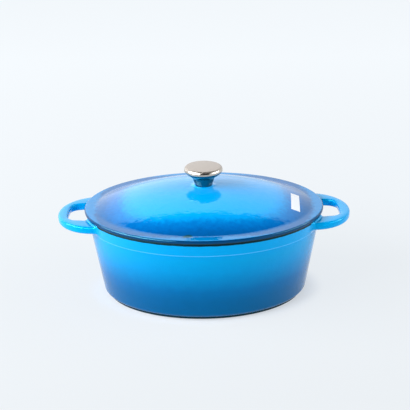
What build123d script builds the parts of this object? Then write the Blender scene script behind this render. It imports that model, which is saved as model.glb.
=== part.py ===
"""Oval enamelled cast-iron casserole: pot with two loop handles, domed lid, screwed steel knob.

Millimetres. +Z is up, z = 0 is the table, and X runs along the pot from handle to handle.
"""
from math import radians, tan
import os

from build123d import *

# Pot: an oval casting that leans in towards its base
rim_half_length = 146.1
rim_half_width = 113.6
rim_height = 108.0
wall_draft = 9.6
pot_wall = 4.0
pot_floor = 4.5
floor_radius = 14.0
base_radius = 6.0
rim_rounding = 1.2

# Thickened band below the rim, whose lower edge shows as a fine step
band_height = 13.3
band_proud = 0.9
band_rounding = 0.6

# Foot ring under the base
foot_height = 3.3
foot_width = 7.0
foot_inset = 4.0
foot_rounding = 0.6

# Loop handles, cast with the pot, and the gap for the fingers in each
handle_reach = 35.3
handle_root = 12.1
handle_half_width = 51.5
handle_thickness = 9.6
handle_drop = 2.3
handle_bar = 12.7
handle_rounding = 3.2
handle_blend = 12.0
finger_half_width = 27.0
finger_flare = 2.4
finger_corner = 13.0
finger_root = 5.0
finger_bow = 1.8

# Lid: a flat rim that rests on the pot, a dome, and a skirt that keeps it in place
lid_overhang = 1.9
lid_rim_thickness = 5.2
lid_rim_rounding = 1.4
lid_rim_width = 13.5
dome_rise = 25.5
dome_cove = 12.0
lid_wall = 4.0
skirt_depth = 5.0
skirt_thickness = 3.0
skirt_clearance = 1.5
pad_radius = 12.0
pad_height = 0.3
spot_face_radius = 9.0
spot_face_depth = 0.3

# Knob: a cap on a flared stem, both of sheet steel, with a threaded bush brazed inside
knob_sheet = 1.2
knob_radius = 23.7
stem_height = 18.6
stem_base_radius = 10.7
neck_radius = 13.8
neck_height = 9.7
neck_rounding = 6.0
bowl_radius = 21.7
bowl_height = 15.9
bowl_rounding = 9.0
lip_height = 1.0
lip_clearance = 0.1
cap_side = 4.8
cap_crown = 1.2
cap_rounding = 4.0
bush_radius = 8.0
bush_height = 14.0

# Fastening: an M6 pan-head screw with a flat washer and a split spring washer
screw_diameter = 5.9
screw_length = 20.0
screw_hole = 6.6
thread_clearance = 0.05
screw_head_radius = 5.7
screw_head_height = 3.6
screw_head_rounding = 1.6
screw_chamfer = 0.6
recess_length = 6.0
recess_width = 1.2
recess_depth = 1.8
washer_hole = 6.4
flat_washer_radius = 7.5
flat_washer_thickness = 1.2
spring_washer_radius = 5.8
spring_washer_thickness = 1.6
spring_washer_split = 0.8

# Heights that follow from the sizes above
lean = tan(radians(wall_draft))
lid_top = rim_height + lid_rim_thickness
pad_top = lid_top + dome_rise + pad_height
stem_top = pad_top + stem_height
spot_face = lid_top + dome_rise - lid_wall + spot_face_depth
flat_washer_low = spot_face - flat_washer_thickness
screw_seat = flat_washer_low - spring_washer_thickness


def oval(inset, height):
    """The flat oval that lies inside the pot's rim by an inset, at a height."""
    return Pos(0, 0, height) * Ellipse(rim_half_length - inset, rim_half_width - inset)


def oval_block(low, high, low_inset, high_inset):
    """A solid oval block whose side leans from one inset to another."""
    return loft([oval(low_inset, low), oval(high_inset, high)], ruled=True)


def wall_inset(height):
    """How far the outside of the pot's wall lies inside its rim."""
    return band_proud + lean * (rim_height - height)


def edges_at(solid, height):
    """The edges of a solid that lie flat at one height."""
    return solid.edges().filter_by_position(Axis.Z, height - 0.01, height + 0.01)


def round_bar(radius, low, height):
    """An upright cylinder on the middle axis."""
    return Pos(0, 0, low) * extrude(Circle(radius), height)


def turned(outline):
    """A solid turned about the middle axis from an outline of radius and height."""
    return revolve(Plane.XZ * outline, Axis.Z)


def pot_outside():
    """The outer form of the pot, with its band, rounded base and foot ring."""
    body = oval_block(foot_height, rim_height, wall_inset(foot_height), wall_inset(rim_height))
    body = fillet(edges_at(body, foot_height), base_radius)
    band_low = rim_height - band_height
    band = oval_block(band_low, rim_height, lean * band_height, 0)
    band = fillet(edges_at(band, band_low), band_rounding)
    foot_edge = wall_inset(0) + foot_inset
    foot = oval_block(0, foot_height + pot_floor / 2, foot_edge, foot_edge)
    foot -= oval_block(0, foot_height, foot_edge + foot_width, foot_edge + foot_width)
    foot = fillet(edges_at(foot, 0), foot_rounding)
    return body + band + foot


def pot_cavity():
    """The space inside the pot, with a rounded edge all round its floor."""
    low = foot_height + pot_floor
    high = rim_height + rim_rounding
    space = oval_block(low, high, wall_inset(low) + pot_wall, wall_inset(high) + pot_wall)
    return fillet(edges_at(space, low), floor_radius)


def finger_gap(centre, tip):
    """The plan of the gap for the fingers: a slightly bowed end and rounded corners."""
    gap_tip = tip - handle_bar
    end_half_width = finger_half_width - finger_flare
    bow_radius = 0.4 * end_half_width**2 / finger_bow
    inside_pot = centre - handle_blend
    path = FilletPolyline(
        (inside_pot, -finger_half_width - finger_flare),
        (gap_tip - finger_bow, -end_half_width),
        (gap_tip, 0),
        (gap_tip - finger_bow, end_half_width),
        (inside_pot, finger_half_width + finger_flare),
        radius=[finger_corner, bow_radius, finger_corner],
    )
    return make_face(path.edges() + [Line(path @ 1, path @ 0)])


def root_corners(plan, side_inset, near, far):
    """The corners of a loop's plan on the side of the pot, between two distances from its middle."""
    half_length = rim_half_length - side_inset
    half_width = rim_half_width - side_inset

    def is_root(vertex):
        on_side = abs((vertex.X / half_length) ** 2 + (vertex.Y / half_width) ** 2 - 1) < 0.0001
        return on_side and near < abs(vertex.Y) < far and vertex.X > half_length / 2

    return plan.vertices().filter_by(is_root)


def handle_loop():
    """One flat loop at the +X end, rounded all round, that ends inside the wall of the pot."""
    high = rim_height - handle_drop
    low = high - handle_thickness
    centre = rim_half_length - handle_root
    tip = rim_half_length + handle_reach
    side_inset = lean * (rim_height - low)
    arc = EllipticalCenterArc((centre, 0), tip - centre, handle_half_width, -120, arc_size=240)
    outline = make_face([arc.edge(), Line(arc @ 1, arc @ 0)])
    plan = outline - finger_gap(centre, tip) + oval(side_inset, 0)
    plan &= Pos(centre / 2 + tip, 0) * Rectangle(2 * tip, 4 * rim_half_width)
    between = (finger_half_width + handle_half_width) / 2
    plan = fillet(root_corners(plan, side_inset, finger_half_width / 2, between), finger_root)
    plan = fillet(root_corners(plan, side_inset, between, rim_half_width), handle_blend)
    loop = extrude(Pos(0, 0, low) * plan, handle_thickness)
    rims = edges_at(loop, low) + edges_at(loop, high)
    loop = fillet(rims.filter_by_position(Axis.X, centre / 2 + 1, tip), handle_rounding)
    inside_wall = (side_inset + wall_inset(high) + pot_wall) / 2
    return loop - oval_block(low - 1, high + 1, inside_wall, inside_wall)


def make_pot():
    """The pot casting with both loops."""
    pot = pot_outside() - pot_cavity()
    pot = fillet(edges_at(pot, rim_height), rim_rounding)
    loop = handle_loop()
    return pot + loop + mirror(loop, Plane.YZ)


def cap_outline(half_length, low, spring, rise):
    """Half the section of a dome: a straight side from low to spring, then an arc up to the middle."""
    sphere = (half_length**2 + rise**2) / (2 * rise)
    arc = RadiusArc((half_length, spring), (0, spring + rise), -sphere)
    sides = Polyline((0, spring + rise), (0, low), (half_length, low), (half_length, spring))
    return make_face(arc.edges() + sides.edges())


def oval_turned(outline, foot_inset):
    """A solid turned from half a section, then narrowed across to the oval of its foot."""
    narrowing = (rim_half_width - foot_inset) / (rim_half_length - foot_inset)
    return scale(turned(outline), by=(1, narrowing, 1))


def lid_dome():
    """The dome of the lid, with a cove where it springs from the flat rim."""
    foot_inset = lid_rim_width - lid_overhang
    half_length = rim_half_length - foot_inset
    outline = cap_outline(half_length, rim_height, lid_top, dome_rise)
    outline += Pos(half_length, (rim_height + lid_top) / 2) * Rectangle(dome_cove, lid_rim_thickness)
    corner = outline.vertices().sort_by_distance((half_length, lid_top))[0]
    return oval_turned(fillet(corner, dome_cove), foot_inset)


def make_lid():
    """The lid casting: rim, dome, skirt, seat for the knob and hole for its screw."""
    rim = oval_block(rim_height, lid_top, -lid_overhang, -lid_overhang)
    rim = fillet(edges_at(rim, rim_height) + edges_at(rim, lid_top), lid_rim_rounding)
    skirt_inset = band_proud + pot_wall + skirt_clearance
    skirt_low = rim_height - skirt_depth
    skirt = oval_block(skirt_low, rim_height, skirt_inset + lean * skirt_depth, skirt_inset)
    hollow_inset = skirt_inset + skirt_thickness
    hollow_rise = lid_top + dome_rise - lid_wall - rim_height
    hollow = cap_outline(rim_half_length - hollow_inset, skirt_low, rim_height, hollow_rise)
    pad = round_bar(pad_radius, spot_face, pad_top - spot_face)
    lid = rim + skirt + lid_dome() - oval_turned(hollow, hollow_inset) + pad
    lid -= round_bar(spot_face_radius, rim_height, spot_face - rim_height)
    return lid - round_bar(screw_hole / 2, rim_height, pad_top)


def make_knob_stem():
    """The flared stem: a turned cup of sheet steel with a flat foot and a lip that locates the cap."""
    side = FilletPolyline(
        (stem_base_radius, pad_top),
        (neck_radius, pad_top + neck_height),
        (bowl_radius, pad_top + bowl_height),
        (knob_radius, stem_top),
        radius=[neck_rounding, bowl_rounding],
    )
    ends = Polyline((knob_radius, stem_top), (0, stem_top), (0, pad_top), (stem_base_radius, pad_top))
    body = turned(make_face(side.edges() + ends.edges()))
    cup = offset(body, amount=-knob_sheet, openings=body.faces().sort_by(Axis.Z)[-1])
    lip_radius = knob_radius - knob_sheet - lip_clearance
    lip = round_bar(lip_radius, stem_top - knob_sheet, knob_sheet + lip_height)
    lip -= round_bar(lip_radius - knob_sheet, stem_top - knob_sheet, knob_sheet + lip_height)
    return cup + lip - round_bar(screw_hole / 2, pad_top, knob_sheet)


def make_knob_cap():
    """The slightly domed cap of the knob, pressed from sheet, open below."""
    shoulder = stem_top + cap_side
    body = turned(cap_outline(knob_radius, stem_top, shoulder, cap_crown))
    body = fillet(edges_at(body, shoulder), cap_rounding)
    return offset(body, amount=-knob_sheet, openings=body.faces().sort_by(Axis.Z)[0])


def make_knob_bush():
    """The threaded bush that stands on the foot of the stem."""
    low = pad_top + knob_sheet
    bore = screw_diameter / 2 + thread_clearance
    bush = round_bar(bush_radius, low, bush_height) - round_bar(bore, low, bush_height)
    return chamfer(edges_at(bush, low) + edges_at(bush, low + bush_height), screw_chamfer)


def make_screw():
    """The pan-head screw, head down under the lid, with a cross recess."""
    shank = round_bar(screw_diameter / 2, screw_seat, screw_length)
    shank = chamfer(edges_at(shank, screw_seat + screw_length), screw_chamfer)
    head_low = screw_seat - screw_head_height
    head = round_bar(screw_head_radius, head_low, screw_head_height)
    head = fillet(edges_at(head, head_low), screw_head_rounding)
    slot = Rectangle(recess_length, recess_width) + Rectangle(recess_width, recess_length)
    return shank + head - Pos(0, 0, head_low) * extrude(slot, recess_depth)


def make_flat_washer():
    """The flat washer that lies against the underside of the lid."""
    hole = round_bar(washer_hole / 2, flat_washer_low, flat_washer_thickness)
    return round_bar(flat_washer_radius, flat_washer_low, flat_washer_thickness) - hole


def make_spring_washer():
    """The split spring washer between the screw head and the flat washer."""
    ring = Circle(spring_washer_radius) - Circle(washer_hole / 2)
    ring -= Pos(spring_washer_radius, 0) * Rectangle(2 * spring_washer_radius, spring_washer_split)
    return Pos(0, 0, screw_seat) * extrude(ring, spring_washer_thickness)


os.makedirs("parts", exist_ok=True)
export_step(make_pot(), "parts/pot.step")
export_step(make_lid(), "parts/lid.step")
export_step(make_knob_cap(), "parts/knob_cap.step")
export_step(make_knob_stem(), "parts/knob_stem.step")
export_step(make_knob_bush(), "parts/knob_bush.step")
export_step(make_screw(), "parts/knob_screw.step")
export_step(make_flat_washer(), "parts/flat_washer.step")
export_step(make_spring_washer(), "parts/spring_washer.step")
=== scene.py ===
"""Looks for an oval enamelled cast-iron casserole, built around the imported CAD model.

Sizes are millimetres until a mesh is made, and metres in Blender. +Z is up, and X runs from handle to
handle. A path is a list of complex numbers: the distance across as real part, the height as imaginary part.
"""
from cmath import exp, phase
from math import ceil, cos, hypot, pi, radians, sin, sqrt, tan

import bpy
import numpy as np
from mathutils import Matrix, Vector


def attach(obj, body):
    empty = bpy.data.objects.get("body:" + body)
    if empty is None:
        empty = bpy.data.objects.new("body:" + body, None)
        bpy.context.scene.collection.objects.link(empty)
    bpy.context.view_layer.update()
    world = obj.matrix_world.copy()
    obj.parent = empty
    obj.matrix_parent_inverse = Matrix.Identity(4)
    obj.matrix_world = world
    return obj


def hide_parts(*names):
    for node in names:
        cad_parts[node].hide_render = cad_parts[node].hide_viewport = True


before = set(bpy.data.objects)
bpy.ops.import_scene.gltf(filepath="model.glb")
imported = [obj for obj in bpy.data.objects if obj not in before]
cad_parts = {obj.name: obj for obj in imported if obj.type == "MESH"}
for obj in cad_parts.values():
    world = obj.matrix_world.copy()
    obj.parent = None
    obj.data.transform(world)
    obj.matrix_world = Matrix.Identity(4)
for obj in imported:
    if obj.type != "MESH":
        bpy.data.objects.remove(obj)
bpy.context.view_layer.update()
MM = 0.001

# Pot. Its sizes are those of the part's source, but the lower edge of its band is 3 mm lower
RIM_HALF_LENGTH = 146.1
RIM_HALF_WIDTH = 113.6
RIM_HEIGHT = 108.0
RIM_ROUNDING = 1.2
LEAN_ANGLE = radians(9.6)
LEAN = tan(LEAN_ANGLE)
POT_WALL = 4.0
POT_FLOOR = 4.5
FLOOR_RADIUS = 14.0
FLOOR_RUN = 30.0
BASE_RADIUS = 6.0
BAND_HEIGHT = 16.3
BAND_PROUD = 0.9
BAND_ROUNDING = 0.6
BAND_NOOK = 0.35
FOOT_HEIGHT = 3.3
FOOT_WIDTH = 7.0
FOOT_INSET = 4.0
FOOT_ROUNDING = 0.6
FOOT_NOOK_OUTSIDE = 0.8
FOOT_NOOK_INSIDE = 1.0
UNDER_RUN = 12.0
FLOOR_TOP = FOOT_HEIGHT + POT_FLOOR

# Loop handles. Each edge sinks into the wall over a few short runs, so that no gap shows
HANDLE_REACH = 35.3
HANDLE_ROOT = 12.1
HANDLE_DROP = 2.3
HANDLE_HALF_WIDTH = 51.5
HANDLE_THICKNESS = 9.6
HANDLE_BAR = 12.7
HANDLE_ROUNDING = 3.2
HANDLE_BLEND = 12.0
HANDLE_CROWN = 0.2
FINGER_HALF_WIDTH = 27.0
FINGER_FLARE = 2.4
FINGER_CORNER = 13.0
FINGER_ROOT = 5.0
FINGER_BOW = 1.8
BOW_SHARE = 0.4
ROOT_ROUNDING = 2.0
ROOT_LENGTH = 6.0
TOP_FLARE = 1.4
LOW_FLARE = 3.0
SINK = 2.5
SINK_RUNS = (1.5, 3, 4.5, 6, 7)
HANDLE_TIP = RIM_HALF_LENGTH + HANDLE_REACH
HANDLE_CENTRE = RIM_HALF_LENGTH - HANDLE_ROOT
HANDLE_TOP = RIM_HEIGHT - HANDLE_DROP

# The band's oval at the height of the handles' underside
POT_OVAL = [size - LEAN * (HANDLE_DROP + HANDLE_THICKNESS) for size in (RIM_HALF_LENGTH, RIM_HALF_WIDTH)]

# Lid. Its sizes are those of the part's source, but its outer edge is rounder by 0.7 mm
LID_OVERHANG = 1.9
LID_RIM_THICKNESS = 5.2
LID_RIM_WIDTH = 13.5
LID_RIM_ROUNDING = 2.1
LID_RIM_GAP = 2.0
LID_WALL = 4.0
DOME_RISE = 25.5
DOME_START = 17.0
DOME_COVE = 12.0
COVE_RUN = 20.0
ARC_GAP = 0.4
SKIRT_CLEARANCE = 1.5
SKIRT_THICKNESS = 3.0
SKIRT_DEPTH = 5.0
SKIRT_NOOK = 0.4
SKIRT_ROUNDING = 0.5
HOLLOW_END = 15.0
PAD_RADIUS = 12.0
PAD_HEIGHT = 0.3
PAD_FOOT = 0.25
SPOT_FACE_RADIUS = 9.0
SPOT_FACE_DEPTH = 0.3
SPOT_FACE_FOOT = 0.1
HOLE_RADIUS = 3.3
LID_TOP = RIM_HEIGHT + LID_RIM_THICKNESS
CROWN = LID_TOP + DOME_RISE
PAD_TOP = CROWN + PAD_HEIGHT
SPOT_FACE = CROWN - LID_WALL + SPOT_FACE_DEPTH
DOME_HALF_LENGTH = RIM_HALF_LENGTH + LID_OVERHANG - LID_RIM_WIDTH
DOME_HALF_WIDTH = RIM_HALF_WIDTH + LID_OVERHANG - LID_RIM_WIDTH
SKIRT_INSET = BAND_PROUD + POT_WALL + SKIRT_CLEARANCE
HOLLOW_INSET = SKIRT_INSET + SKIRT_THICKNESS
HOLLOW_RISE = CROWN - LID_WALL - RIM_HEIGHT

# Knob. A corner of the stem's side is its radius, height and rounding
KNOB_SHEET = 1.2
KNOB_RADIUS = 23.7
STEM_TOP = PAD_TOP + 18.6
STEM_SIDE = (
    (10.7, PAD_TOP, 0), (13.8, PAD_TOP + 9.7, 6.0), (21.7, PAD_TOP + 15.9, 9.0), (KNOB_RADIUS, STEM_TOP, 0),
)
LIP_CLEARANCE = 0.1
LIP_HEIGHT = 1.0
LIP_FOOT = 0.8
CAP_SIDE = 4.8
CAP_CROWN = 1.2
CAP_ROUNDING = 4.0
CAP_SHARES = (0, 0.2, 0.4, 0.6, 0.75)

# How finely the shells are divided. A spacing is the step on a long stretch, and the one beside its ends
COLUMNS = 320
ARC_STEP = radians(12)
CAST_SPACING = (2.6, 0.35)
SHEET_SPACING = (1.2, 0.15)
DOME_STEP = 2.4
HOLLOW_STEP = 3.2
FLAT_SHARES = (0.0, 0.25, 0.5, 0.75)

# How finely the handles are divided, and between which places on an edge its end at the wall is looked for
OVAL_ANGLES = np.linspace(-pi / 2, pi / 2, 6001)
OUTER_SEARCH = (0.3, 2.2)
INNER_SEARCH = (0.2, 1.0)
HALVINGS = 40
EDGE_STEPS = 60
TAIL_STEPS = 12
STATIONS = 90
CROWDING = 1.5
SIDE_ROWS = 7
FACE_ROWS = 16
FACE_BEND = 1.5

# Unevenness that the sand mould leaves, with its waves 28 mm apart, and the lengths over which it fades out
SKIN_WAVES = {"Unevenness": 0.05 * MM, "Waves_per_Metre": 36.0}
POT_SKIN_FADE = 8.0
LID_SKIN_FADE = 6.0
PAD_SKIN_START = 18.0
PAD_SKIN_FADE = 12.0

# Paper label on the lid, by its corners in plan
LABEL_CORNERS = ((108.7, 7.6), (118.7, 6.0), (115.7, -39.8), (105.1, -38.3))
LABEL_THICKNESS = 0.14
LABEL_SINK = 0.1
LABEL_COLUMNS = 5
LABEL_ROWS = 21

# Camera fitted to the photograph, with its focal length and centre in pixels
CAMERA_PLACE = (-8.92, -1188.59, 589.48)
CAMERA_AIM = (0.0, 0.0, 63.0)
CAMERA_ROLL = radians(-0.88)
CAMERA_FOCAL = 1030.04
CAMERA_CENTRE = (204.46, 240.61)
PHOTO_SIZE = 410
SENSOR_WIDTH = 36
FARTHEST_SEEN = 50

# Surroundings, by the direction of the ray. A strength is a share of white, and one strength gives way to
# another between the two values of an edge
AMBIENT = 0.32
WORLD_WHITE = "F1F5FA"
WALL_EDGE = (0.53, 0.55)
WALL_STRENGTH = 1.45
WALL_RISE = 0.9
WALL_TILT = -0.8
ROOM_STRENGTH = 0.07
BANK_STRENGTH = 1.1
BANK_EDGE = (0.5, 0.62)
BANK_TOP = (0.7, 0.85)
WINDOW_STRENGTH = 16.0
WINDOW_EDGES = (("X", -0.3, -0.42), ("Y", 0.1, -0.1), ("Z", 0.3, 0.4), ("Z", 0.8, 0.7))

# Floor, in metres: its half size, an oval round the pot's foot, and the stretch over which its glow changes
FLOOR_HALF = 8.0
FOOT_OVAL = (0.123, 0.09)
FOOT_OVAL_EDGE = (1.02, 1.25)
GLOW_SHARES = (0.5, 0.88)
GLOW_STRETCH = (-0.5, 1.2)
GLOW_STRENGTHS = (0.9, 1.09)
GLOW_WHITE = "F1F6FA"
PAPER_WHITE = "F0F3F7"

# Soft boxes in metres and watts: name, place, width, height and power
SOFT_BOXES = (
    ("soft_box_left", (-1.38, -0.45, 0.95), 1.9, 0.8, 44),
    ("soft_box_right", (1.42, -0.2, 0.85), 1.3, 0.5, 15),
)
SOFT_BOX_AIM = (0, 0, 0.06)

# Shades of the blue enamel, from the base to the rim of the pot, and out from the middle of the lid, where
# they are partly painted reflection
POT_SHADES = (
    (0.0, "00568C"), (0.12, "00568E"), (0.24, "005993"), (0.37, "0064A4"), (0.5, "007CBC"),
    (0.63, "0090D1"), (0.76, "009BDA"), (0.89, "00A0E5"), (1.0, "00A4EA"),
)
# The lid's shades are partly the enamel's own grading and partly painted reflection: their steep dark band
# near the rim, with its wavering edge, stands in for the dim room that the front of the lid mirrors
LID_SHADES_WITH_PAINTED_REFLECTION = (
    (0.0, "00AAFA"), (0.60, "00AAFA"), (0.66, "009FEE"), (0.69, "0090DE"), (0.73, "007ACC"), (0.80, "0068B9"),
    (0.845, "005DA7"), (0.90, "00589E"), (0.94, "0080C8"), (1.0, "0084CC"),
)

# The lid's shades follow a squarish oval, and end at 1.1 times the size of the dome
LID_SHADE_HALVES = {"X": DOME_HALF_LENGTH / 1.02, "Y": DOME_HALF_WIDTH}
LID_SHADE_REACH = 1.1
LID_SQUARENESS = 3.0

# Places where a shade or an edge wavers: the waves in a metre, and how far they spread it
POT_SHADE_WAVES = (70.0, 0.04)
LID_SHADE_WAVES = (190.0, 0.1)
BLACK_EDGE_WAVES = (130.0, 1.0)
# Wavering edge of the painted highlight along the band's lower edge
BAND_HIGHLIGHT_WAVES = (60.0, 0.4)
BLEMISH_WAVES = (600.0, 0.9)

# Glass of the enamel. Its orange peel has ripples 7 and 3.3 mm apart: how many in a metre, and their height
PEEL_RIPPLES = ((140.0, 0.22), (300.0, 0.08))
HANDLE_PEEL = 0.3
GLOSS = 0.03
MATT = 0.5
GLASS_IOR = 1.5
POT_TINT = "30E0FF"
LID_TINT = "78E8FF"

# Places on the enamel. The reach is millimetres past the casting's edge, and one far number on the handles.
# The pinholes are in a few cells of 14 mm, and a radius of 0.05 of a cell is 0.7 mm
HANDLE_MARK = -1000.0
WALL_REACH = (-900.0, -800.0)
POT_BLACK = (-2.4, 4.5)
LID_BLACK = (-1.0, 9.0)
BLACK_BLUR = 0.25
CREAM_BLUR = 0.3
LID_SIDE = (-5.6, -4.4)
# Painted highlight along the lower edge of the band: full within the second number of millimetres of it, gone
# past the first
BAND_HIGHLIGHT_STRIPE = (1.54, 0.66)
BARE_FOOT = (2.6, 3.6)
PINHOLE_CELLS = 70.0
PINHOLE_CHOICE = (0.62, 0.64)
PINHOLE_RADIUS = (0.05, 0.03)
BLEMISH = (-20.2, -101.6)
BLEMISH_HALVES = (6.0, 3.0)
BLEMISH_EDGE = (1.15, 0.75)

# Other colours of the castings
EDGE_BLACK = "0C1014"
CREAM = "EAE4D3"
# Colour of the painted highlight along the band's lower edge
BAND_HIGHLIGHT_BLUE = "4CBCFA"
FOOT_BLACK = "0A1E30"
LID_SIDE_BLUE = "00386A"
PINHOLE_BLUE = "06283C"
BLEMISH_BLUE = "12485A"

# Steel. Its grain is 1.1 mm apart, coarser than real brushing, so that it shows
GRAIN = 900.0
PLAIN_GRAIN = {"Strength": 0.4, "Distance": 0.005 * MM}
SATIN_GRAIN = {"Strength": 0.5, "Distance": 0.02 * MM}
SATIN_EDGE = (23.6, 22.8)
SATIN_STEEL = "A89E94"
CAP_SIDE_STEEL = "C6BFB5"
CAP_ROUGHNESS = (0.17, 0.4)
STEM_STEEL = ("767B7E", 0.08)
PLATED_STEEL = ("B8B8B8", 0.25)

# Paper of the label
LABEL_WHITE = "F0F4F9"
LABEL_ROUGHNESS = 0.35


def linear(hex_colour):
    """A linear RGBA colour from an sRGB hex value."""
    parts = [int(hex_colour[i:i + 2], 16) / 255 for i in (0, 2, 4)]
    return [c / 12.92 if c <= 0.04045 else ((c + 0.055) / 1.055) ** 2.4 for c in parts] + [1.0]


def add_node(tree, kind, inputs=None, **settings):
    """Adds a node with its settings. An input is a value, a socket, or a node that gives its main output."""
    node = tree.nodes.new(kind)
    for name, value in settings.items():
        setattr(node, name, value)
    for key, value in (inputs or {}).items():
        if isinstance(value, bpy.types.Node):
            value = next(output for output in value.outputs if output.enabled)
        if isinstance(value, bpy.types.NodeSocket):
            tree.links.new(value, node.inputs[key])
        else:
            node.inputs[key].default_value = value
    return node


def math_node(tree, operation, *values):
    """A calculation with one to three values."""
    return add_node(tree, "ShaderNodeMath", dict(enumerate(values)), operation=operation)


def fade(tree, value, edge, ends=(0.0, 1.0)):
    """Goes smoothly from one end to the other, where the value is between the two of an edge."""
    inputs = dict(enumerate((value, *edge, *ends)))
    return add_node(tree, "ShaderNodeMapRange", inputs, interpolation_type="SMOOTHSTEP")


def mixed(tree, share, colour, other):
    """A colour that gives way to the other one with the share."""
    return add_node(tree, "ShaderNodeMix", {0: share, 6: colour, 7: other}, data_type="RGBA")


def new_material(name):
    """An empty material, its tree, and the place on the piece in metres."""
    material = bpy.data.materials.new(name)
    material.use_nodes = True
    tree = material.node_tree
    tree.nodes.clear()
    return material, tree, add_node(tree, "ShaderNodeTexCoord").outputs["Object"]


# Camera, light and surroundings
def make_camera():
    """The camera at the photograph's angle, turned so that the lens needs no shift."""
    place = Vector(CAMERA_PLACE)
    forward = (Vector(CAMERA_AIM) - place).normalized()
    level = forward.cross(Vector((0, 0, 1))).normalized()
    upright = level.cross(forward)
    right = cos(CAMERA_ROLL) * level + sin(CAMERA_ROLL) * upright
    up = cos(CAMERA_ROLL) * upright - sin(CAMERA_ROLL) * level
    basis = Matrix((right, up, -forward)).transposed()
    middle = PHOTO_SIZE / 2
    across = (CAMERA_CENTRE[0] - middle) / CAMERA_FOCAL
    down = (CAMERA_CENTRE[1] - middle) / CAMERA_FOCAL
    turn = Vector((0, 0, -1)).rotation_difference(Vector((across, -down, -1)).normalized())
    data = bpy.data.cameras.new("photo_camera")
    data.sensor_width = SENSOR_WIDTH
    data.lens = SENSOR_WIDTH * CAMERA_FOCAL / PHOTO_SIZE
    data.clip_end = FARTHEST_SEEN
    camera = bpy.data.objects.new("photo_camera", data)
    camera.matrix_world = Matrix.Translation(place * MM) @ (basis @ turn.inverted().to_matrix()).to_4x4()
    bpy.context.scene.collection.objects.link(camera)
    bpy.context.scene.camera = camera


def ray_kinds(tree):
    """1 for rays straight from the camera, and 1 for those that a surface mirrors or lets through."""
    rays = add_node(tree, "ShaderNodeLightPath").outputs
    mirrored = math_node(tree, "MAXIMUM", rays["Is Glossy Ray"], rays["Is Transmission Ray"])
    return rays["Is Camera Ray"], mirrored


def make_world():
    """A white studio: plain white for the camera, and even light on the object.

    Mirrored rays see more of it. Behind the object stands a bright wall, brighter above and to the left. In
    front is a dim room, with a bright bank on each side and a window at the front left, which gives the
    streaks on rounded edges.
    """
    world = bpy.data.worlds.new("white_studio")
    world.use_nodes = True
    tree = world.node_tree
    tree.nodes.clear()
    direction = add_node(tree, "ShaderNodeTexCoord").outputs["Generated"]
    axes = add_node(tree, "ShaderNodeSeparateXYZ", {0: direction}).outputs
    wall = math_node(tree, "MULTIPLY_ADD", axes["Z"], WALL_RISE, WALL_STRENGTH)
    wall = math_node(tree, "MULTIPLY_ADD", axes["X"], WALL_TILT, wall)
    aside = math_node(tree, "ABSOLUTE", axes["X"])
    aside = fade(tree, aside, BANK_EDGE)
    bank = fade(tree, axes["Z"], BANK_TOP, (BANK_STRENGTH, 0.0))
    room = math_node(tree, "MULTIPLY_ADD", aside, bank, ROOM_STRENGTH)
    window = WINDOW_STRENGTH
    for axis, *edge in WINDOW_EDGES:
        pane = fade(tree, axes[axis], edge)
        window = math_node(tree, "MULTIPLY", pane, window)
    room = math_node(tree, "ADD", room, window)
    around = fade(tree, axes["Y"], WALL_EDGE, (room, wall))
    seen, mirrored = ray_kinds(tree)
    strength = add_node(tree, "ShaderNodeMix", {0: mirrored, 2: AMBIENT, 3: around})
    strength = add_node(tree, "ShaderNodeMix", {0: seen, 2: strength, 3: 1.0})
    glow = add_node(tree, "ShaderNodeBackground", {0: linear(WORLD_WHITE), 1: strength})
    add_node(tree, "ShaderNodeOutputWorld", {0: glow})
    bpy.context.scene.world = world


def make_floor():
    """Matt white backdrop paper: mostly its own glow, brighter far behind, for the camera and mirrored rays.

    The rest of it is lit, so that it keeps the shadow, and that share is larger round the pot's foot.
    """
    mesh = bpy.data.meshes.new("floor")
    corners = [(x * FLOOR_HALF, y * FLOOR_HALF, 0) for x, y in ((-1, -1), (1, -1), (1, 1), (-1, 1))]
    mesh.from_pydata(corners, [], [(0, 1, 2, 3)])
    floor = bpy.data.objects.new("floor", mesh)
    bpy.context.scene.collection.objects.link(floor)
    material, tree, place = new_material("seamless_paper")
    seen, mirrored = ray_kinds(tree)
    seen = math_node(tree, "MAXIMUM", seen, mirrored)
    scale = [1 / half for half in FOOT_OVAL] + [0]
    apart = add_node(tree, "ShaderNodeMapping", {"Vector": place, "Scale": scale})
    apart = add_node(tree, "ShaderNodeVectorMath", {0: apart}, operation="LENGTH")
    share = fade(tree, apart, FOOT_OVAL_EDGE, GLOW_SHARES)
    share = math_node(tree, "MULTIPLY", seen, share)
    back = add_node(tree, "ShaderNodeSeparateXYZ", {0: place}).outputs["Y"]
    glow = add_node(tree, "ShaderNodeMapRange", {
        0: back, 1: GLOW_STRETCH[0], 2: GLOW_STRETCH[1], 3: GLOW_STRENGTHS[0], 4: GLOW_STRENGTHS[1]})
    lit = add_node(tree, "ShaderNodeBsdfDiffuse", {0: linear(PAPER_WHITE)})
    own = add_node(tree, "ShaderNodeEmission", {0: linear(GLOW_WHITE), 1: glow})
    paper = add_node(tree, "ShaderNodeMixShader", {0: share, 1: lit, 2: own})
    add_node(tree, "ShaderNodeOutputMaterial", {0: paper})
    mesh.materials.append(material)


def make_soft_box(name, place, width, height, power):
    """An upright soft box, aimed at the pot."""
    data = bpy.data.lights.new(name, "AREA")
    data.shape = "RECTANGLE"
    data.size = width
    data.size_y = height
    data.energy = power
    lamp = bpy.data.objects.new(name, data)
    direction = Vector(SOFT_BOX_AIM) - Vector(place)
    turn = direction.to_track_quat("-Z", "Y").to_matrix().to_4x4()
    lamp.matrix_world = Matrix.Translation(place) @ turn
    bpy.context.scene.collection.objects.link(lamp)


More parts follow.
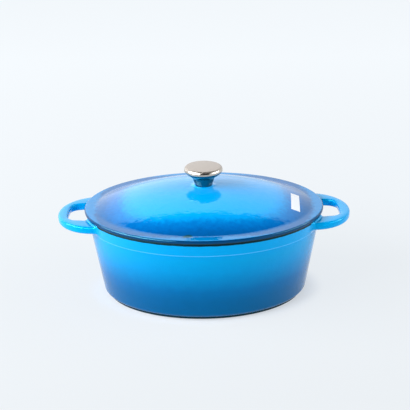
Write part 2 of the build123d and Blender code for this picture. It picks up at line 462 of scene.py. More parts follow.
# Finishes
def shaded(tree, value, shades):
    """The colour at a value from 0 to 1 along some shades."""
    ramp = add_node(tree, "ShaderNodeValToRGB", {0: value})
    band = ramp.color_ramp
    while len(band.elements) < len(shades):
        band.elements.new(0.5)
    for element, (position, colour) in zip(band.elements, shades):
        element.position = position
        element.color = linear(colour)
    return ramp


def wavering(tree, place, value, waves, spread):
    """A value pushed up and down from place to place, by half the spread each way."""
    push = add_node(tree, "ShaderNodeTexNoise", {"Vector": place, "Scale": waves})
    push = add_node(tree, "ShaderNodeMapRange", {0: push, 3: -spread / 2, 4: spread / 2})
    return math_node(tree, "ADD", value, push)


def edge_reach(tree):
    """The distance past the edge of a piece in millimetres, as its mesh has it."""
    return add_node(tree, "ShaderNodeAttribute", attribute_name="reach").outputs["Fac"]


def fired_enamel(tree, place, outside, edge, tint):
    """Finishes a casting: glossy colour outside, a matt black edge and glossy cream inside.

    The edge is the reach at which the black starts and ends. The clear glass over the colour has the orange
    peel of a sprayed and fired coat, so that mirrored light breaks up. The handles are smoother.
    """
    reach = edge_reach(tree)
    past = wavering(tree, place, reach, *BLACK_EDGE_WAVES)
    black = fade(tree, past, (edge[0] - BLACK_BLUR, edge[0] + BLACK_BLUR))
    cream = fade(tree, past, (edge[1] - CREAM_BLUR, edge[1] + CREAM_BLUR))
    colour = mixed(tree, black, outside, linear(EDGE_BLACK))
    colour = mixed(tree, cream, colour, linear(CREAM))
    rough = math_node(tree, "SUBTRACT", black, cream)
    rough = add_node(tree, "ShaderNodeMapRange", {0: rough, 3: GLOSS, 4: MATT})
    peel = add_node(tree, "ShaderNodeMapRange", {
        0: reach, 1: WALL_REACH[0], 2: WALL_REACH[1], 3: HANDLE_PEEL, 4: 1.0})
    normal = {}
    for waves, height in PEEL_RIPPLES:
        ripples = add_node(tree, "ShaderNodeTexNoise", {"Vector": place, "Scale": waves})
        ripples = math_node(tree, "MULTIPLY", ripples, peel)
        bump = add_node(tree, "ShaderNodeBump", {
            "Strength": 1.0, "Distance": height * MM, "Height": ripples, **normal})
        normal = {"Normal": bump}
    glaze = add_node(tree, "ShaderNodeBsdfPrincipled", {
        "Base Color": colour, "Roughness": rough, "IOR": GLASS_IOR, "Specular Tint": linear(tint), **normal})
    add_node(tree, "ShaderNodeOutputMaterial", {0: glaze})


def pot_enamel():
    """Vitreous enamel, sprayed and fired: a glassy blue, light at the rim and dark towards the base.

    A painted highlight, a pale stripe, runs along the lower edge of the band, and the foot is bare of the
    enamel.
    """
    material, tree, place = new_material("shaded_blue_vitreous_enamel")
    height = add_node(tree, "ShaderNodeSeparateXYZ", {0: place}).outputs["Z"]
    share = math_node(tree, "MULTIPLY", height, 1 / (RIM_HEIGHT * MM))
    blue = shaded(tree, wavering(tree, place, share, *POT_SHADE_WAVES), POT_SHADES)
    # Painted highlight: a pale stripe along the lower edge of the band, where its step catches the light
    apart = wavering(tree, place, edge_reach(tree), *BAND_HIGHLIGHT_WAVES)
    apart = math_node(tree, "ADD", apart, BAND_HEIGHT / cos(LEAN_ANGLE))
    apart = math_node(tree, "ABSOLUTE", apart)
    band_highlight = fade(tree, apart, BAND_HIGHLIGHT_STRIPE)
    blue = mixed(tree, band_highlight, blue, linear(BAND_HIGHLIGHT_BLUE))
    glazed = fade(tree, height, [end * MM for end in BARE_FOOT])
    outside = mixed(tree, glazed, linear(FOOT_BLACK), blue)
    fired_enamel(tree, place, outside, POT_BLACK, POT_TINT)
    return material


def lid_pinholes(tree, place):
    """1 in a few small round pits, where gas from the iron broke through the enamel."""
    cells = add_node(tree, "ShaderNodeTexVoronoi", {"Vector": place, "Scale": PINHOLE_CELLS}).outputs
    chosen = fade(tree, cells["Color"], PINHOLE_CHOICE)
    small = fade(tree, cells["Distance"], PINHOLE_RADIUS)
    return math_node(tree, "MULTIPLY", chosen, small)


def lid_blemish(tree, place):
    """1 in the small dark flaw near the front of the lid."""
    shift = [-middle / half for middle, half in zip(BLEMISH, BLEMISH_HALVES)] + [0]
    scale = [1 / (half * MM) for half in BLEMISH_HALVES] + [0]
    apart = add_node(tree, "ShaderNodeMapping", {"Vector": place, "Location": shift, "Scale": scale})
    apart = add_node(tree, "ShaderNodeVectorMath", {0: apart}, operation="LENGTH")
    apart = wavering(tree, place, apart, *BLEMISH_WAVES)
    return fade(tree, apart, BLEMISH_EDGE)


def lid_enamel():
    """The same enamel, light in the middle of the lid, darker towards its rim and darkest on its side. The
    steep dark band near the rim is partly painted reflection.
    """
    material, tree, place = new_material("shaded_blue_enamel_lid_with_painted_reflection")
    axes = add_node(tree, "ShaderNodeSeparateXYZ", {0: place}).outputs
    parts = []
    for axis, half in LID_SHADE_HALVES.items():
        part = math_node(tree, "MULTIPLY", axes[axis], 1 / (half * MM))
        part = math_node(tree, "ABSOLUTE", part)
        parts.append(math_node(tree, "POWER", part, LID_SQUARENESS))
    across = math_node(tree, "ADD", *parts)
    across = math_node(tree, "POWER", across, 1 / LID_SQUARENESS)
    across = math_node(tree, "MULTIPLY", across, 1 / LID_SHADE_REACH)
    # Painted reflection in part: the steep dark band of these shades stands in for the dim room mirrored by
    # the front of the lid
    blue = shaded(tree, wavering(tree, place, across, *LID_SHADE_WAVES), LID_SHADES_WITH_PAINTED_REFLECTION)
    side = fade(tree, edge_reach(tree), LID_SIDE)
    marks = (
        (lid_pinholes(tree, place), PINHOLE_BLUE), (side, LID_SIDE_BLUE),
        (lid_blemish(tree, place), BLEMISH_BLUE),
    )
    for share, colour in marks:
        blue = mixed(tree, share, blue, linear(colour))
    fired_enamel(tree, place, blue, LID_BLACK, LID_TINT)
    return material


def steel(name, colour, roughness):
    """Polished or plated steel: it mirrors its surroundings, broken up a little by a very shallow grain."""
    material, tree, place = new_material(name)
    grain = add_node(tree, "ShaderNodeTexNoise", {"Vector": place, "Scale": GRAIN})
    bump = add_node(tree, "ShaderNodeBump", {"Height": grain, **PLAIN_GRAIN})
    metal = add_node(tree, "ShaderNodeBsdfPrincipled", {
        "Base Color": linear(colour), "Metallic": 1.0, "Roughness": roughness, "Normal": bump})
    add_node(tree, "ShaderNodeOutputMaterial", {0: metal})
    return material


def cap_steel():
    """Stainless steel, brushed to a satin that dulls what it mirrors on top, and polished round the side."""
    material, tree, place = new_material("satin_and_polished_stainless_steel")
    satin = fade(tree, edge_reach(tree), SATIN_EDGE)
    colour = mixed(tree, satin, linear(CAP_SIDE_STEEL), linear(SATIN_STEEL))
    rough = add_node(tree, "ShaderNodeMapRange", {0: satin, 3: CAP_ROUGHNESS[0], 4: CAP_ROUGHNESS[1]})
    grain = add_node(tree, "ShaderNodeTexNoise", {"Vector": place, "Scale": GRAIN})
    grain = math_node(tree, "MULTIPLY", grain, satin)
    bump = add_node(tree, "ShaderNodeBump", {"Height": grain, **SATIN_GRAIN})
    metal = add_node(tree, "ShaderNodeBsdfPrincipled", {
        "Base Color": colour, "Metallic": 1.0, "Roughness": rough, "Normal": bump})
    add_node(tree, "ShaderNodeOutputMaterial", {0: metal})
    return material


def coated_paper():
    """Smooth white paper with a thin gloss coat, which gives it a soft sheen."""
    material, tree, _ = new_material("coated_white_paper")
    paper = add_node(tree, "ShaderNodeBsdfPrincipled", {
        "Base Color": linear(LABEL_WHITE), "Roughness": LABEL_ROUGHNESS})
    add_node(tree, "ShaderNodeOutputMaterial", {0: paper})
    return material


# Paths and rings. A ring is half the length, half the width and the height of one oval
def rounded(corners):
    """A path through corners given as (across, height, radius), with an arc in place of each inner corner."""
    path = []
    last = len(corners) - 1
    for index, (across, height, radius) in enumerate(corners):
        here = complex(across, height)
        if not radius or index in (0, last):
            path.append(here)
            continue
        back = complex(*corners[index - 1][:2]) - here
        ahead = complex(*corners[index + 1][:2]) - here
        back /= abs(back)
        ahead /= abs(ahead)
        half = abs(phase(ahead / back)) / 2
        centre = here + (back + ahead) / abs(back + ahead) * radius / sin(half)
        start = here + back * radius / tan(half) - centre
        turn = phase((here + ahead * radius / tan(half) - centre) / start)
        steps = max(3, ceil(abs(turn) / ARC_STEP))
        path += [centre + start * exp(1j * turn * step / steps) for step in range(steps + 1)]
    return path


def spaced(path, step, beside):
    """The path with points added on its long stretches, and close beside each of their ends."""
    dense = [path[0]]
    for start, end in zip(path, path[1:]):
        length = abs(end - start)
        if length > 3 * beside:
            run = length - 2 * beside
            count = ceil(run / step)
            shares = [(beside + run * index / count) / length for index in range(count + 1)]
            dense += [start + (end - start) * share for share in shares]
        dense.append(end)
    return dense


def sphere_radius(half_length, rise):
    """The radius of the arc from a dome's edge over its crown."""
    return (half_length**2 + rise**2) / (2 * rise)


def dome_height(across, half_length, rise, crown):
    """The height of a dome at a distance from its middle."""
    sphere = sphere_radius(half_length, rise)
    return crown - sphere + sqrt(sphere**2 - across**2)


def dome_path(half_length, rise, crown, ends, step):
    """Points along a dome's arc between two distances from its middle."""
    count = ceil(abs(ends[1] - ends[0]) / step)
    places = [ends[0] + (ends[1] - ends[0]) * index / count for index in range(count + 1)]
    return [complex(across, dome_height(across, half_length, rise, crown)) for across in places]


def inset_rings(path):
    """Rings of the pot's oval, from insets and heights."""
    return [(RIM_HALF_LENGTH - p.real, RIM_HALF_WIDTH - p.real, p.imag) for p in path]


def narrowed_rings(path, narrowing=1.0):
    """Rings from half lengths and heights, each narrower across by the same factor."""
    return [(p.real, p.real * narrowing, p.imag) for p in path]


def flat_rings(ring, shares):
    """Rings that fill the flat inside of a ring."""
    return [(ring[0] * share, ring[1] * share, ring[2]) for share in shares]


def along(rings):
    """The distance along the section up to each ring."""
    reach = [0.0]
    for one, two in zip(rings, rings[1:]):
        reach.append(reach[-1] + hypot(two[0] - one[0], two[2] - one[2]))
    return np.array(reach)


# Meshes of swept rings
SWEEP_INPUTS = (
    ("Section", "Geometry"), ("Columns", "Int"), ("Unevenness", "Float"), ("Waves per Metre", "Float"),
    ("Seed", "Float"), ("Cast On", "Object"), ("Material", "Material"),
)


def oval_sweep_tree():
    """Nodes that sweep a section round the upright axis and join a loose part to it.

    Each point of the section is one ring. Its skin attribute, from 0 to 1, says how much of the sand
    mould's unevenness that ring has.
    """
    tree = bpy.data.node_groups.new("oval_sweep", "GeometryNodeTree")
    tree.interface.new_socket("Geometry", in_out="OUTPUT", socket_type="NodeSocketGeometry")
    for name, kind in SWEEP_INPUTS:
        tree.interface.new_socket(name, in_out="INPUT", socket_type="NodeSocket" + kind)
    given = add_node(tree, "NodeGroupInput").outputs
    section = given["Section"]
    place = add_node(tree, "GeometryNodeInputPosition")
    rings = add_node(tree, "GeometryNodeAttributeDomainSize", {0: section}).outputs["Point Count"]
    across = math_node(tree, "ADD", given["Columns"], 1.0)
    grid = add_node(tree, "GeometryNodeMeshGrid", {"Vertices X": rings, "Vertices Y": across})
    index = add_node(tree, "GeometryNodeInputIndex")
    ring = math_node(tree, "DIVIDE", index, across)
    ring = math_node(tree, "FLOOR", ring)
    angle = math_node(tree, "MODULO", index, across)
    angle = math_node(tree, "DIVIDE", angle, given["Columns"])
    angle = math_node(tree, "MULTIPLY", angle, 2 * pi)
    half = add_node(tree, "GeometryNodeSampleIndex", {
        "Geometry": section, "Value": place, "Index": ring}, data_type="FLOAT_VECTOR")
    half = add_node(tree, "ShaderNodeSeparateXYZ", {0: half}).outputs
    east = math_node(tree, "COSINE", angle)
    east = math_node(tree, "MULTIPLY", half["X"], east)
    north = math_node(tree, "SINE", angle)
    north = math_node(tree, "MULTIPLY", half["Y"], north)
    spot = add_node(tree, "ShaderNodeCombineXYZ", {0: east, 1: north, 2: half["Z"]})
    shell = add_node(tree, "GeometryNodeSetPosition", {"Geometry": grid, "Position": spot})
    for name in ("reach", "skin"):
        value = add_node(tree, "GeometryNodeInputNamedAttribute", {"Name": name}, data_type="FLOAT")
        value = add_node(tree, "GeometryNodeSampleIndex", {
            "Geometry": section, "Value": value, "Index": ring}, data_type="FLOAT")
        shell = add_node(tree, "GeometryNodeStoreNamedAttribute", {
            "Geometry": shell, "Name": name, "Value": value}, data_type="FLOAT", domain="POINT")
    shell = add_node(tree, "GeometryNodeMergeByDistance", {"Geometry": shell, "Distance": 1e-6})
    loose = add_node(tree, "GeometryNodeObjectInfo", {"Object": given["Cast On"]}).outputs["Geometry"]
    joined = add_node(tree, "GeometryNodeJoinGeometry", {0: loose})
    tree.links.new(shell.outputs[0], joined.inputs[0])
    height = add_node(tree, "ShaderNodeTexNoise", {
        "Vector": place, "W": given["Seed"], "Scale": given["Waves per Metre"], "Detail": 1.0},
        noise_dimensions="4D")
    height = add_node(tree, "ShaderNodeMapRange", {0: height, 3: -1.0, 4: 1.0})
    skin = add_node(tree, "GeometryNodeInputNamedAttribute", {"Name": "skin"}, data_type="FLOAT")
    for share in (skin, given["Unevenness"]):
        height = math_node(tree, "MULTIPLY", height, share)
    push = add_node(tree, "GeometryNodeInputNormal")
    push = add_node(tree, "ShaderNodeVectorMath", {0: push, "Scale": height}, operation="SCALE")
    cast = add_node(tree, "GeometryNodeSetPosition", {"Geometry": joined, "Offset": push})
    cast = add_node(tree, "GeometryNodeSetShadeSmooth", {"Geometry": cast})
    cast = add_node(tree, "GeometryNodeRealizeInstances", {"Geometry": cast})
    cast = add_node(tree, "GeometryNodeSetMaterial", {"Geometry": cast, "Material": given["Material"]})
    add_node(tree, "NodeGroupOutput", {0: cast})
    return tree


SWEEP_TREE = oval_sweep_tree()


def new_piece(name, points, faces, **attributes):
    """An object from points in millimetres. Each attribute has a number at each point."""
    mesh = bpy.data.meshes.new(name)
    mesh.from_pydata([tuple(c * MM for c in point) for point in points], [], faces)
    for key, values in attributes.items():
        attribute = mesh.attributes.new(key, "FLOAT", "POINT")
        attribute.data.foreach_set("value", np.array(values, dtype=np.float32))
    piece = bpy.data.objects.new(name, mesh)
    bpy.context.scene.collection.objects.link(piece)
    return piece


def sweep(name, rings, reach, skin, **inputs):
    """A plain mesh of the rings, swept by the nodes. An input's name has _ for each space."""
    piece = new_piece(name, rings, [], reach=reach, skin=skin)
    modifier = piece.modifiers.new("oval_sweep", "NODES")
    modifier.node_group = SWEEP_TREE
    sockets = {s.name: s.identifier for s in SWEEP_TREE.interface.items_tree if s.in_out == "INPUT"}
    for key, value in inputs.items():
        modifier[sockets[key.replace("_", " ")]] = value
    graph = bpy.context.evaluated_depsgraph_get()
    mesh = bpy.data.meshes.new_from_object(piece.evaluated_get(graph), depsgraph=graph)
    piece.modifiers.remove(modifier)
    piece.data = mesh
    return piece


def swept_piece(name, node, body, slot, material, rings, edge, skin, **inputs):
    """A casting or a pressed sheet that stands for its CAD node and moves with its body.

    The reach is zero at the ring nearest to the edge, and grows from there inwards or underneath. The skin
    is a function of the reach and of the distance along the section.
    """
    lengths = along(rings)
    inward = -1 if rings[0][2] < edge[2] else 1
    nearest = min(rings, key=lambda ring: hypot(ring[0] - edge[0], ring[2] - edge[2]))
    reach = inward * (lengths - lengths[rings.index(nearest)])
    piece = sweep(name, rings, reach, skin(reach, lengths), Columns=COLUMNS, Material=material, **inputs)
    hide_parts(node)
    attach(piece, body)


# Pot
def wall_inset(height):
    """How far the pot's wall, below the band, lies inside the rim's oval."""
    return BAND_PROUD + LEAN * (RIM_HEIGHT - height)


def pot_rings():
    """The pot's section: from the middle of its floor up the inside, over the rim, down and under."""
    floor_corner = wall_inset(FLOOR_TOP) + POT_WALL
    band_low = RIM_HEIGHT - BAND_HEIGHT
    foot_edge = wall_inset(0) + FOOT_INSET
    section = rounded([
        (floor_corner + FLOOR_RUN, FLOOR_TOP, 0),
        (floor_corner, FLOOR_TOP, FLOOR_RADIUS),
        (BAND_PROUD + POT_WALL, RIM_HEIGHT, RIM_ROUNDING),
        (0, RIM_HEIGHT, RIM_ROUNDING),
        (LEAN * BAND_HEIGHT, band_low, BAND_ROUNDING),
        (wall_inset(band_low), band_low, BAND_NOOK),
        (wall_inset(FOOT_HEIGHT), FOOT_HEIGHT, BASE_RADIUS),
        (foot_edge, FOOT_HEIGHT, FOOT_NOOK_OUTSIDE),
        (foot_edge, 0, FOOT_ROUNDING),
        (foot_edge + FOOT_WIDTH, 0, FOOT_ROUNDING),
        (foot_edge + FOOT_WIDTH, FOOT_HEIGHT, FOOT_NOOK_INSIDE),
        (foot_edge + FOOT_WIDTH + UNDER_RUN, FOOT_HEIGHT, 0),
    ])
    rings = inset_rings(spaced(section, *CAST_SPACING))
    return flat_rings(rings[0], FLAT_SHARES) + rings + flat_rings(rings[-1], FLAT_SHARES[::-1])


def pot_skin(reach, lengths):
    """Uneven all over, except at the rim."""
    return np.clip(np.abs(reach) / POT_SKIN_FADE, 0, 1)


def pot_casting():
    """The pot with its handles, one casting."""
    handles = loop_handles()
    edge = (RIM_HALF_LENGTH, 0, RIM_HEIGHT)
    swept_piece("pot_casting", "pot", "pot", "pot_enamel", pot_enamel(), pot_rings(), edge, pot_skin,
                Cast_On=handles, Seed=3.0, **SKIN_WAVES)
    bpy.data.objects.remove(handles)


# Loop handles
def nearest_on_oval(points, half_length, half_width):
    """The signed distance from each point to an oval, more outside, and the outward direction there."""
    oval = np.stack([half_length * np.cos(OVAL_ANGLES), half_width * np.sin(OVAL_ANGLES)], axis=1)
    normals = np.stack([np.cos(OVAL_ANGLES) / half_length, np.sin(OVAL_ANGLES) / half_width], axis=1)
    normals /= np.linalg.norm(normals, axis=1)[:, None]
    distances = []
    directions = []
    for point in points:
        apart = point - oval
        best = np.argmin((apart**2).sum(axis=1))
        distances.append(apart[best] @ normals[best])
        directions.append(normals[best])
    return np.array(distances), np.array(directions)


def stations(points):
    """The points of a handle's edge in plan, at steps that are shorter towards its root."""
    points = np.array(points)
    reach = np.concatenate([[0], np.cumsum(np.linalg.norm(np.diff(points, axis=0), axis=1))])
    steps = reach[-1] * (1 - (1 - np.linspace(0, 1, STATIONS + 1)) ** CROWDING)
    return np.stack([np.interp(steps, reach, points[:, axis]) for axis in (0, 1)], axis=1)


def rolled(on_edge, start, end, radius):
    """Where a circle outside an edge touches it and the pot's oval: its centre, and its place on the edge."""
    for _ in range(HALVINGS):
        middle = (start + end) / 2
        point, normal = on_edge(middle)
        centre = point + normal * radius
        if nearest_on_oval([centre], *POT_OVAL)[0][0] > radius:
            start = middle
        else:
            end = middle
    return centre, middle


def tail(centre, point, radius, side):
    """The circle's arc from the edge to the pot's oval, then short runs that sink into the wall."""
    direction = nearest_on_oval([centre], *POT_OVAL)[1][0]
    away = complex(*direction)
    first = complex(*(point - centre))
    turn = phase(-away * radius / first)
    arc = [complex(*centre) + first * exp(1j * turn * step / TAIL_STEPS) for step in range(TAIL_STEPS + 1)]
    sunk = [arc[-1] + away * (1j * side * run - SINK * (run / SINK_RUNS[-1]) ** 2) for run in SINK_RUNS]
    return [(p.real, p.imag) for p in arc + sunk]


def outer_edge():
    """The outer edge of half a handle in plan, from its tip to inside the wall of the pot."""
    reach = HANDLE_TIP - HANDLE_CENTRE

    def on_edge(angle):
        normal = np.array([cos(angle) / reach, sin(angle) / HANDLE_HALF_WIDTH])
        point = np.array([HANDLE_CENTRE + reach * cos(angle), HANDLE_HALF_WIDTH * sin(angle)])
        return point, normal / np.linalg.norm(normal)

    centre, angle = rolled(on_edge, *OUTER_SEARCH, HANDLE_BLEND)
    points = [on_edge(angle * step / EDGE_STEPS)[0] for step in range(EDGE_STEPS)]
    return stations(points + tail(centre, on_edge(angle)[0], HANDLE_BLEND, 1))


def inner_edge():
    """The edge of half a finger gap in plan, from its tip to inside the wall of the pot."""
    gap_tip = HANDLE_TIP - HANDLE_BAR
    gap_half = FINGER_HALF_WIDTH - FINGER_FLARE
    corner = np.array([gap_tip - FINGER_BOW, gap_half])
    root = (HANDLE_CENTRE - HANDLE_BLEND, FINGER_HALF_WIDTH + FINGER_FLARE)
    line = np.array(root) - corner
    across = np.array([-line[1], line[0]]) / np.linalg.norm(line)

    def on_edge(share):
        return corner + line * share, across

    bow = BOW_SHARE * gap_half**2 / FINGER_BOW
    half_gap = rounded([
        (corner[0], -corner[1], 0), (gap_tip, 0, bow), (corner[0], corner[1], FINGER_CORNER), (*root, 0)])
    points = [(p.real, p.imag) for p in half_gap[:-1] if p.imag > -1e-6]
    centre, share = rolled(on_edge, *INNER_SEARCH, FINGER_ROOT)
    return stations(points + tail(centre, on_edge(share)[0], FINGER_ROOT, -1))


def handle_rows(edge, side, level):
    """Rows of points from one face of the handle round to its side, along one edge."""
    tangent = np.gradient(edge, axis=0)
    tangent[0] = (0, 1)
    into = np.stack([-tangent[:, 1], tangent[:, 0]], axis=1) * side
    into /= np.linalg.norm(into, axis=1)[:, None]
    free = nearest_on_oval(edge, *POT_OVAL)[0]
    radius = ROOT_ROUNDING + (HANDLE_ROUNDING - ROOT_ROUNDING) * np.clip(free / ROOT_LENGTH, 0, 1)
    rows = []
    for angle in np.linspace(pi / 2, 0, SIDE_ROWS):
        plan = edge + into * (radius * (1 - cos(angle)))[:, None]
        height = level * (HANDLE_THICKNESS / 2 - radius * (1 - sin(angle)))
        rows.append(np.column_stack([plan, height]))
    return rows


def handle_face(start, end, level):
    """Rows of points across one face, between a row on each edge. At the root they follow the pot's oval."""
    oval = [size - SINK - ROOT_ROUNDING for size in POT_OVAL]
    angles = [np.arctan2(row[-1, 1] / oval[1], row[-1, 0] / oval[0]) for row in (start, end)]
    share = np.clip(np.linspace(0, FACE_BEND, len(start)), 0, 1)[:, None] ** 2
    rows = []
    for cross in np.linspace(0, 1, FACE_ROWS)[1:-1]:
        turn = angles[0] + (angles[1] - angles[0]) * cross
        bulge = np.array([oval[0] * cos(turn), oval[1] * sin(turn)])
        for angle, weight in zip(angles, (1 - cross, cross)):
            bulge -= weight * np.array([oval[0] * cos(angle), oval[1] * sin(angle)])
        row = start + (end - start) * cross
        row[:, :2] += share * bulge
        row[:, 2] += level * HANDLE_CROWN * sin(pi * cross)
        rows.append(row)
    return rows


def leaned(points):
    """A flat handle's points, given round height 0, moved out with the leaning wall, flared and raised."""
    free, outward = nearest_on_oval(points[:, :2], *POT_OVAL)
    height = points[:, 2] + HANDLE_THICKNESS / 2
    near = 1 - np.clip(free / HANDLE_BLEND, 0, 1)
    plan = points[:, :2] + outward * (LEAN * height * near**2 * (3 - 2 * near))[:, None]
    free = free - LEAN * height
    level = points[:, 2].copy()
    share = np.clip(level / (HANDLE_THICKNESS / 2), -1, 1)
    for side, flare in ((1, TOP_FLARE), (-1, LOW_FLARE)):
        depth = np.clip(flare - free, 0, flare)
        rise = flare - np.sqrt(flare**2 - depth**2)
        level += side * rise * np.clip(side * share, 0, 1) ** 2
    return np.column_stack([plan, level + HANDLE_TOP - HANDLE_THICKNESS / 2])


def handle_shell():
    """Points and faces of the +X handle: a flat loop, rounded all round, that flares at the wall."""
    outside = outer_edge()
    inside = inner_edge()
    outer_top = handle_rows(outside, 1, 1)
    outer_low = handle_rows(outside, 1, -1)
    inner_top = handle_rows(inside, -1, 1)
    inner_low = handle_rows(inside, -1, -1)
    rows = outer_top + outer_low[::-1] + handle_face(outer_low[0], inner_low[0], -1)
    rows += inner_low + inner_top[::-1] + handle_face(inner_top[0], outer_top[0], 1)
    half = np.array(rows).transpose(1, 0, 2)
    half = leaned(half.reshape(-1, 3)).reshape(half.shape)
    whole = np.concatenate([half[:0:-1] * (1, -1, 1), half])
    count, around = whole.shape[:2]
    faces = []
    for station in range(count - 1):
        here = station * around
        for row in range(around):
            ahead = (row + 1) % around
            faces.append((here + row, here + ahead, here + around + ahead, here + around + row))
    last = (count - 1) * around
    for row in range(SIDE_ROWS, around // 2 + SIDE_ROWS - 1):
        across = (row, row + 1, (2 * SIDE_ROWS - 2 - row) % around, (2 * SIDE_ROWS - 1 - row) % around)
        faces.append(across[::-1])
        faces.append(tuple(last + index for index in across))
    return whole.reshape(-1, 3), faces


def loop_handles():
    """Both handles in one mesh, to be cast on the pot."""
    points, faces = handle_shell()
    both = np.concatenate([points, points * (-1, 1, 1)])
    flipped = [tuple(len(points) + index for index in face[::-1]) for face in faces]
    reach = np.full(len(both), HANDLE_MARK)
    return new_piece("loop_handles", both, faces + flipped, reach=reach, skin=np.ones(len(both)))


# Lid
def lid_rings():
    """The lid's section: up through the screw hole, over the dome to the edge, and back underneath."""
    narrowing = DOME_HALF_WIDTH / DOME_HALF_LENGTH
    slope = DOME_HALF_LENGTH / sphere_radius(DOME_HALF_LENGTH, DOME_RISE)
    middle = [
        complex(HOLE_RADIUS, SPOT_FACE), complex(HOLE_RADIUS, PAD_TOP), complex(PAD_RADIUS, PAD_TOP),
        complex(PAD_RADIUS, CROWN - PAD_FOOT)]
    cove = rounded([
        (DOME_HALF_LENGTH - COVE_RUN * sqrt(1 - slope**2), LID_TOP + COVE_RUN * slope, 0),
        (DOME_HALF_LENGTH, LID_TOP, DOME_COVE),
        (DOME_HALF_LENGTH + COVE_RUN, LID_TOP, 0),
    ])[1:-1]
    ends = (DOME_START, cove[0].real - ARC_GAP)
    dome = dome_path(DOME_HALF_LENGTH, DOME_RISE, CROWN, ends, DOME_STEP)
    skirt_low = RIM_HEIGHT - SKIRT_DEPTH
    edge = rounded([
        (RIM_HALF_LENGTH - cove[-1].real - LID_RIM_GAP, LID_TOP, 0),
        (-LID_OVERHANG, LID_TOP, LID_RIM_ROUNDING),
        (-LID_OVERHANG, RIM_HEIGHT, LID_RIM_ROUNDING),
        (SKIRT_INSET, RIM_HEIGHT, SKIRT_NOOK),
        (SKIRT_INSET + LEAN * SKIRT_DEPTH, skirt_low, SKIRT_ROUNDING),
        (HOLLOW_INSET, skirt_low, SKIRT_ROUNDING),
        (HOLLOW_INSET, RIM_HEIGHT, 0),
    ])
    half_length = RIM_HALF_LENGTH - HOLLOW_INSET
    roof = CROWN - LID_WALL
    hollow = dome_path(half_length, HOLLOW_RISE, roof, (half_length - ARC_GAP, HOLLOW_END), HOLLOW_STEP)
    spot_face = [
        complex(SPOT_FACE_RADIUS, roof - SPOT_FACE_FOOT), complex(SPOT_FACE_RADIUS, SPOT_FACE),
        complex(HOLE_RADIUS, SPOT_FACE)]
    top = narrowed_rings(spaced(middle, *CAST_SPACING)) + narrowed_rings(dome + cove, narrowing)
    under = narrowed_rings(hollow, (RIM_HALF_WIDTH - HOLLOW_INSET) / half_length)
    under += narrowed_rings(spaced(spot_face, *CAST_SPACING))
    return top + inset_rings(spaced(edge, *CAST_SPACING)) + under


def lid_skin(reach, lengths):
    """Uneven on top, except at the rim and round the knob's pad. Even underneath."""
    return np.clip(-reach / LID_SKIN_FADE, 0, 1) * np.clip((lengths - PAD_SKIN_START) / PAD_SKIN_FADE, 0, 1)


def lid_casting():
    """The lid, one casting."""
    edge = (RIM_HALF_LENGTH + LID_OVERHANG, 0, RIM_HEIGHT)
    swept_piece("lid_casting", "lid", "lid", "lid_enamel", lid_enamel(), lid_rings(), edge, lid_skin,
                Seed=8.0, **SKIN_WAVES)


# Knob
def stem_rings():
    """The section of the knob's stem: a sheet of even thickness, with a lip that locates the cap."""
    outer = rounded(STEM_SIDE)
    inner = [outer[0] + complex(-KNOB_SHEET, KNOB_SHEET)]
    for before, here, after in zip(outer, outer[1:], outer[2:]):
        inner.append(here + 1j * KNOB_SHEET * (after - before) / abs(after - before))
    floor = [complex(HOLE_RADIUS, PAD_TOP), complex(HOLE_RADIUS, PAD_TOP + KNOB_SHEET)]
    radius = KNOB_RADIUS - KNOB_SHEET - LIP_CLEARANCE
    lip_top = STEM_TOP + LIP_HEIGHT
    lip = [
        complex(radius - KNOB_SHEET, STEM_TOP - LIP_FOOT), complex(radius - KNOB_SHEET, lip_top),
        complex(radius, lip_top), complex(radius, STEM_TOP)]
    return narrowed_rings(spaced(floor + inner[:-1] + lip + outer[::-1] + floor[:1], *SHEET_SPACING))


def cap_rings():
    """The section of the knob's cap: a slightly domed sheet with a rounded shoulder and a short side."""
    shoulder = STEM_TOP + CAP_SIDE
    top = shoulder + CAP_CROWN
    places = [KNOB_RADIUS * share for share in CAP_SHARES]
    outside = [complex(across, dome_height(across, KNOB_RADIUS, CAP_CROWN, top)) for across in places]
    outside += rounded([
        (outside[-1].real, outside[-1].imag, 0),
        (KNOB_RADIUS, shoulder, CAP_ROUNDING),
        (KNOB_RADIUS, STEM_TOP, 0),
    ])[1:]
    inside = rounded([
        (KNOB_RADIUS - KNOB_SHEET, STEM_TOP, 0),
        (KNOB_RADIUS - KNOB_SHEET, shoulder - KNOB_SHEET, CAP_ROUNDING - KNOB_SHEET),
        (0, top - KNOB_SHEET, 0),
    ])
    return narrowed_rings(spaced(outside + inside, *SHEET_SPACING))


def even_skin(reach, lengths):
    """Even all over."""
    return np.zeros(len(reach))


def knob_stem():
    """The turned stem of the knob."""
    material = steel("polished_stainless_steel", *STEM_STEEL)
    rings = stem_rings()
    swept_piece("knob_stem_sheet", "knob_stem", "lid", "polished_steel", material, rings, rings[0], even_skin)


def knob_cap():
    """The pressed cap of the knob. Its reach is the distance from the middle of its top."""
    rings = cap_rings()
    swept_piece("knob_cap_sheet", "knob_cap", "lid", "satin_steel", cap_steel(), rings, rings[0], even_skin)


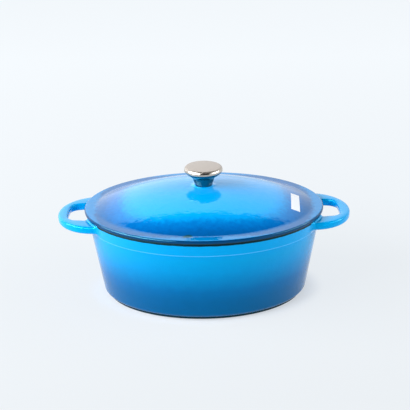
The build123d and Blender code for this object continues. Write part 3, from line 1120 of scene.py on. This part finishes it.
def plain_fastening():
    """Zinc-plated steel on the pieces that keep their CAD shape: the bush, the screw and the washers.

    The nodes that the other pieces stand for get it too, and aren't seen.
    """
    plated = steel("zinc_plated_steel", *PLATED_STEEL)
    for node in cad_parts.values():
        for slot in node.material_slots:
            slot.material = plated


# Paper label
def on_lid(across, along_y):
    """The height of the lid's dome above a place in plan."""
    out = hypot(across, along_y * DOME_HALF_LENGTH / DOME_HALF_WIDTH)
    return dome_height(out, DOME_HALF_LENGTH, DOME_RISE, CROWN)


def paper_label():
    """The plain paper label, laid on the dome."""
    corners = [np.array(corner) for corner in LABEL_CORNERS]
    points = []
    for lift in (LABEL_THICKNESS, -LABEL_SINK):
        for row in range(LABEL_ROWS):
            down = row / (LABEL_ROWS - 1)
            for column in range(LABEL_COLUMNS):
                side = column / (LABEL_COLUMNS - 1)
                upper = corners[0] * (1 - side) + corners[1] * side
                lower = corners[3] * (1 - side) + corners[2] * side
                x, y = upper * (1 - down) + lower * down
                points.append((x, y, on_lid(x, y) + lift))
    faces = []
    under = LABEL_COLUMNS * LABEL_ROWS
    for row in range(LABEL_ROWS - 1):
        for column in range(LABEL_COLUMNS - 1):
            first = row * LABEL_COLUMNS + column
            top = (first, first + LABEL_COLUMNS, first + LABEL_COLUMNS + 1, first + 1)
            faces.append(top)
            faces.append(tuple(index + under for index in top[::-1]))
    rim = list(range(LABEL_COLUMNS))
    rim += [row * LABEL_COLUMNS + LABEL_COLUMNS - 1 for row in range(1, LABEL_ROWS)]
    rim += [under - 1 - column for column in range(1, LABEL_COLUMNS)]
    rim += [row * LABEL_COLUMNS for row in range(LABEL_ROWS - 2, 0, -1)]
    for first, second in zip(rim, rim[1:] + rim[:1]):
        faces.append((first, second, second + under, first + under))
    label = new_piece("paper_label", points, faces)
    label.data.materials.append(coated_paper())
    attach(label, "lid")


make_camera()
bpy.context.scene.view_settings.view_transform = "Standard"
make_world()
make_floor()
for soft_box in SOFT_BOXES:
    make_soft_box(*soft_box)

pot_casting()
lid_casting()
knob_stem()
knob_cap()
paper_label()
plain_fastening()
